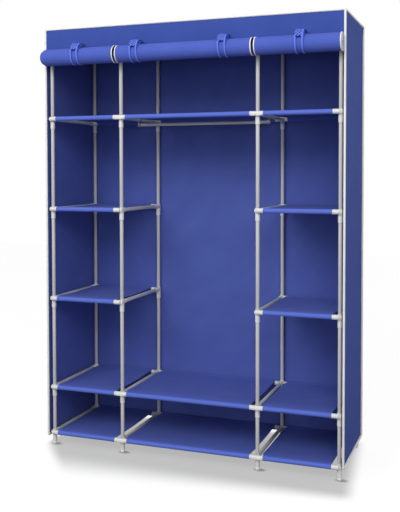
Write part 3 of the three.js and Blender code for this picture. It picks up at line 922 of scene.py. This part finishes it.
low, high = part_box("edge_binding")
west, south, foot = (corner + BINDING_INSET for corner in low)
east, north, roof = (corner - BINDING_INSET for corner in high)
front_east = east - FRONT_LEAN
for side, front_x, rear_x, bottom in (
        ("left", west, west, foot - LEFT_DROP), ("right", front_east, east, foot)):
    lay_binding(f"binding_{side}", [
        (front_x, south, bottom), (front_x, south, roof), (rear_x, north, roof),
        (rear_x, north, foot)], closed=True)
for name, y, z, end in (
        ("top_front", south, roof, front_east), ("top_rear", north, roof, east),
        ("low_rear", north, foot, east)):
    lay_binding(f"binding_{name}", [(west, y, z), (end, y, z)])
# The seam allowance stands out beside the binding, inside the cover, where it can be seen
seam_x, seam_y, seam_z = west + SEAM_INSET, north - SEAM_INSET, foot + SEAM_INSET
lay_binding("seam_left", [
    (seam_x, south + SEAM_END, seam_z - LEFT_DROP), (seam_x, seam_y, seam_z),
    (seam_x, seam_y, roof - SEAM_END)], cloth=cover_lining)
lay_binding("seam_low_rear", [
    (x, seam_y, seam_z) for x in (west + SEAM_END, east - SEAM_END)], cloth=cover_lining)


# Rolled doors
# Three door panels of the cover's cloth, each about 1.5 m long, rolled up tight under the
# header they are sewn to. Their side edges are bound in the white tape.
ROLL_CORE = 0.0052
ROLL_PITCH = 0.0025
ROLL_TURNS = 12
ROLL_TAIL = 0.028
HALF_TURN_STEPS = 12
TAIL_STEPS = 4
ROLL_SLACK = 0.012
SLACK_LIMIT = 1.004
DOOR_CLOTH = 0.0009
DOOR_HEM = 0.006
EDGE_BAND = 0.004
EDGE_TAPE = 0.0018
TAPE_SIDE = -1
TUCK_LENGTH = 0.011
TUCK_DEPTH = 0.26
END_SLIP = 0.03
END_GAP = 0.002
END_UNEVEN = 0.0015
END_REACH = 0.08
ROLL_CELL = 0.014
# The radius at which the outermost turn begins
ROLL_RIM = ROLL_CORE + (ROLL_TURNS - 1.1) * ROLL_PITCH


def model_roll(length):
    """A door rolled up about X: a hem, then half turns about two centres in turn, so that
    each is half a pitch wider than the one before, and the tail that runs up the header."""
    bpy.ops.mesh.primitive_grid_add(
        x_subdivisions=round(length / ROLL_CELL), y_subdivisions=1, size=1)
    roll = bpy.context.object
    roll.data.transform(Matrix.Translation((0, ROLL_CORE, -DOOR_HEM / 2))
                        @ Matrix.Rotation(math.pi / 2, 4, "X")
                        @ Matrix.Diagonal((length, DOOR_HEM, 1, 1)))
    bpy.ops.object.mode_set(mode="EDIT")
    select_in_edit(roll, "EDGE", lambda edge: all(abs(v.co.z) < 1e-5 for v in edge.verts))
    for half in range(2 * ROLL_TURNS):
        centre = ROLL_PITCH / 2 if half % 2 else 0
        bpy.ops.mesh.spin(steps=HALF_TURN_STEPS, angle=-math.pi, center=(0, centre, 0),
                          axis=(1, 0, 0))
    for step in range(TAIL_STEPS):
        bpy.ops.mesh.extrude_edges_move(
            TRANSFORM_OT_translate={"value": (0, 0, ROLL_TAIL / TAIL_STEPS)})
    bpy.ops.object.mode_set(mode="OBJECT")
    return roll


def roll_axis(bay):
    """The middle of a bay's roll, whose CAD solid also holds the tail above it."""
    low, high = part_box(f"door_roll_{bay}")
    radius = (high.y - low.y) / 2
    return Vector(((low.x + high.x) / 2, (low.y + high.y) / 2, low.z + radius))


def loosen_roll(roll, half, tucked, drawn):
    """Give a roll the give of cloth: its turns are a little slack and don't line up at the
    ends. An end in tucked is folded in all round, and the inner turns of one in drawn have
    slipped inwards behind the outermost."""
    outside = ROLL_CORE + ROLL_TURNS * ROLL_PITCH + 0.0003
    for vertex in roll.data.vertices:
        x, y, z = vertex.co
        reach = math.hypot(y, z)
        if z > 0 and reach > outside:
            # The tail, which is sewn to the header
            continue
        side = 1 if x > 0 else -1
        from_end = half - abs(x)
        if side in drawn:
            lean = -side * (END_GAP + END_SLIP * ease((ROLL_RIM - reach) / ROLL_PITCH))
        else:
            # Uneven from turn to turn, and another way at each end of each roll
            uneven = noise.noise(Vector((reach / ROLL_PITCH * 0.8, side * 3, half * 10)))
            lean = side * END_UNEVEN * uneven * ease((ROLL_RIM + ROLL_PITCH - reach) / ROLL_PITCH)
        # Slack that comes and goes over 200 mm along the roll
        slack = noise.noise(Vector((x * 5, math.atan2(z, y) * 0.6, half)))
        grow = 1 + ROLL_SLACK * slack
        if side in tucked:
            grow *= 1 - TUCK_DEPTH * max(0, 1 - from_end / TUCK_LENGTH) ** 2
        grow = min(grow, SLACK_LIMIT)
        vertex.co = x + lean * ease(1 - from_end / END_REACH), y * grow, z * grow


def cut_end(roll, half, side, name, outer_only):
    """The tape round the edge of the cloth at one end of a roll, as a piece of its own. Where
    the inner turns have slipped out of sight it is only laid on the outermost."""
    band = roll.copy()
    band.data = roll.data.copy()
    band.name = band.data.name = name
    bpy.context.scene.collection.objects.link(band)
    bpy.ops.object.select_all(action="DESELECT")
    bpy.context.view_layer.objects.active = band
    bpy.ops.object.mode_set(mode="EDIT")
    bpy.ops.mesh.select_all(action="SELECT")
    start = side * (half - EDGE_BAND - (END_GAP if outer_only else 0))
    bpy.ops.mesh.bisect(plane_co=(start, 0, 0), plane_no=(side, 0, 0), clear_inner=True)
    if outer_only:
        limit = ROLL_RIM - ROLL_PITCH / 2
        select_in_edit(
            band, "FACE", lambda face: math.hypot(*face.calc_center_median().yz) < limit)
        bpy.ops.mesh.delete(type="FACE")
    bpy.ops.object.mode_set(mode="OBJECT")
    apply_modifier(band, "SOLIDIFY", thickness=EDGE_TAPE, offset=TAPE_SIDE)
    shade_round(band, CLOTH_ANGLE)
    return band


# The cover's cloth again, painted paler round the roll: a lit copy of it, painted light
door_cloth = make_cloth("blue_woven_polyester_door", "4155AC", "4A5EBA")
for bay, tucked, drawn in (("left", (-1,), (1,)), ("centre", (), (-1, 1)), ("right", (), (-1,))):
    node = f"door_roll_{bay}"
    low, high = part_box(node)
    half = (high.x - low.x) / 2
    roll = model_roll(2 * half)
    loosen_roll(roll, half, tucked, drawn)
    bands = [cut_end(roll, half, side, f"door_edge_{bay}_{end}", side in drawn)
             for side, end in ((-1, "left"), (1, "right")) if side not in tucked]
    apply_modifier(roll, "SOLIDIFY", thickness=DOOR_CLOTH, offset=0)
    shade_round(roll, CLOTH_ANGLE)
    roll.name = roll.data.name = f"rolled_door_{bay}"
    roll.data.materials.append(door_cloth)
    for piece in [roll] + bands:
        piece.data.transform(Matrix.Translation(roll_axis(bay)))
        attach(piece, "wardrobe")
    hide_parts(node)
    for band in bands:
        band.data.materials.append(bound_tape)


# Roll ties
# In each tie two light-blue ribbons run round the roll from the header behind it. A patch of
# doubled cloth, sewn through in slanting rows, arches out from the header and joins them.
RIBBON_WIDTH = 0.006
RIBBON_CLOTH = 0.0022
RIBBON_SPACING = 0.027
RIBBON_RADIUS = 0.0366
PATCH_CLOTH = 0.0018
PATCH_MARGIN = 0.0008
STITCH_SPACING = 0.009
STITCH_SLANT = (0.707, 0, -0.707)
ROUND_SHARE = 0.3
# Points in Y and Z about the roll's axis: the arch out from the header, where the ribbon lands
# on the roll, and where it leaves it below and goes back to the header
arch = [
    (0.0345, 0.0480), (0.0250, 0.0515), (0.0140, 0.0530), (0.0030, 0.0530), (-0.0070, 0.0513),
    (-0.0150, 0.0480), (-0.0220, 0.0430), (-0.0285, 0.0360), (-0.0330, 0.0295), (-0.0362, 0.0225),
]
landing = [(-0.0378, 0.0160), (-0.0377, 0.0100)]
leaving = [(0.0300, -0.0240), (0.0345, -0.0200)]


def model_strip(path, width, thickness):
    """A flat strip across X that follows a path of points in Y and Z."""
    bpy.ops.mesh.primitive_plane_add(size=1)
    strip = bpy.context.object
    first = Vector((0, *path[0]))
    second = Vector((0, *path[1]))
    for vertex in strip.data.vertices:
        spot = first if vertex.co.y < 0 else second
        vertex.co = spot + Vector((vertex.co.x * width, 0, 0))
    bpy.ops.object.mode_set(mode="EDIT")
    select_in_edit(strip, "EDGE", lambda edge: all(
        (v.co - second).length < width for v in edge.verts)
        and abs(edge.verts[0].co.y - edge.verts[1].co.y) < 1e-6)
    for before, after in zip(path[1:], path[2:]):
        step = (0, after[0] - before[0], after[1] - before[1])
        bpy.ops.mesh.extrude_edges_move(TRANSFORM_OT_translate={"value": step})
    bpy.ops.mesh.select_all(action="SELECT")
    bpy.ops.mesh.normals_make_consistent(inside=False)
    bpy.ops.object.mode_set(mode="OBJECT")
    apply_modifier(strip, "SOLIDIFY", thickness=thickness, offset=0)
    apply_modifier(strip, "BEVEL", width=thickness * ROUND_SHARE, segments=2,
                   limit_method="ANGLE", angle_limit=SHARP_ANGLE)
    shade_round(strip, CLOTH_ANGLE)
    return strip


def around_roll(first, last, step):
    """Points on the outside of a roll between two angles, counted from the header over the top."""
    return [(RIBBON_RADIUS * math.cos(math.radians(a)), RIBBON_RADIUS * math.sin(math.radians(a)))
            for a in range(first, last, step)]


# Light blue polyester ribbon, woven like the cloth
ribbon_cloth = make_cloth("light_blue_ribbon", "5970DC", "6880EE")
ribbon_model = model_strip(arch + landing + around_roll(176, 300, 9) + leaving,
                           RIBBON_WIDTH, RIBBON_CLOTH)
loop_model = model_strip(around_roll(22, 166, 9), RIBBON_WIDTH, RIBBON_CLOTH)
# Two layers of light blue polyester cloth, sewn through in slanting rows 9 mm apart. Its colour
# has painted light and shade: pale between the rows, painted shade along them in the grooves.
patch_cloth = make_cloth("light_blue_patch", "5E78E0", "6C88F0")
tree = patch_cloth.node_tree
shader = tree.nodes["Principled BSDF"]
place = add_node(tree, "ShaderNodeTexCoord").outputs["Object"]
slant = add_node(tree, "ShaderNodeVectorMath", {0: place, 1: STITCH_SLANT},
                 operation="DOT_PRODUCT")
phase = add_node(tree, "ShaderNodeMath", {
    0: slant.outputs["Value"], 1: math.tau / STITCH_SPACING}, operation="MULTIPLY")
wave = add_node(tree, "ShaderNodeMath", {0: phase.outputs["Value"]}, operation="SINE")
painted_row_shade = add_node(tree, "ShaderNodeMapRange", {
    "Value": wave.outputs["Value"], "From Min": -0.3, "From Max": 0.3})
colour = add_node(tree, "ShaderNodeMix", {
    "Factor": painted_row_shade.outputs["Result"], 6: hex_colour("1C2970"),
    7: shader.inputs["Base Color"].links[0].from_socket}, data_type="RGBA")
tree.links.new(colour.outputs[2], shader.inputs["Base Color"])
patch_model = model_strip([(y - PATCH_MARGIN, z + PATCH_MARGIN) for y, z in arch[1:]],
                          RIBBON_SPACING, PATCH_CLOTH)
for tie in ("left", "centre_left", "centre_right", "right"):
    node = f"roll_tie_{tie}"
    axis = roll_axis(tie.split("_")[0])
    axis.x = axis_of(node).x
    for side, offset in (("left", -RIBBON_SPACING / 2), ("right", RIBBON_SPACING / 2)):
        for model, part in ((ribbon_model, "ribbon"), (loop_model, "loop")):
            copy_piece(model, f"tie_{part}_{tie}_{side}", ribbon_cloth,
                       Matrix.Translation(axis + Vector((offset, 0, 0))),
                       slot="tie_ribbon", stands_for=node)
    # The patch covers the left ribbon, and the right one runs along its other edge
    copy_piece(patch_model, f"tie_patch_{tie}", patch_cloth,
               Matrix.Translation(axis - Vector((RIBBON_WIDTH / 2, 0, 0))),
               slot="tie_ribbon", stands_for=node)
clear_away([ribbon_model, loop_model, patch_model])
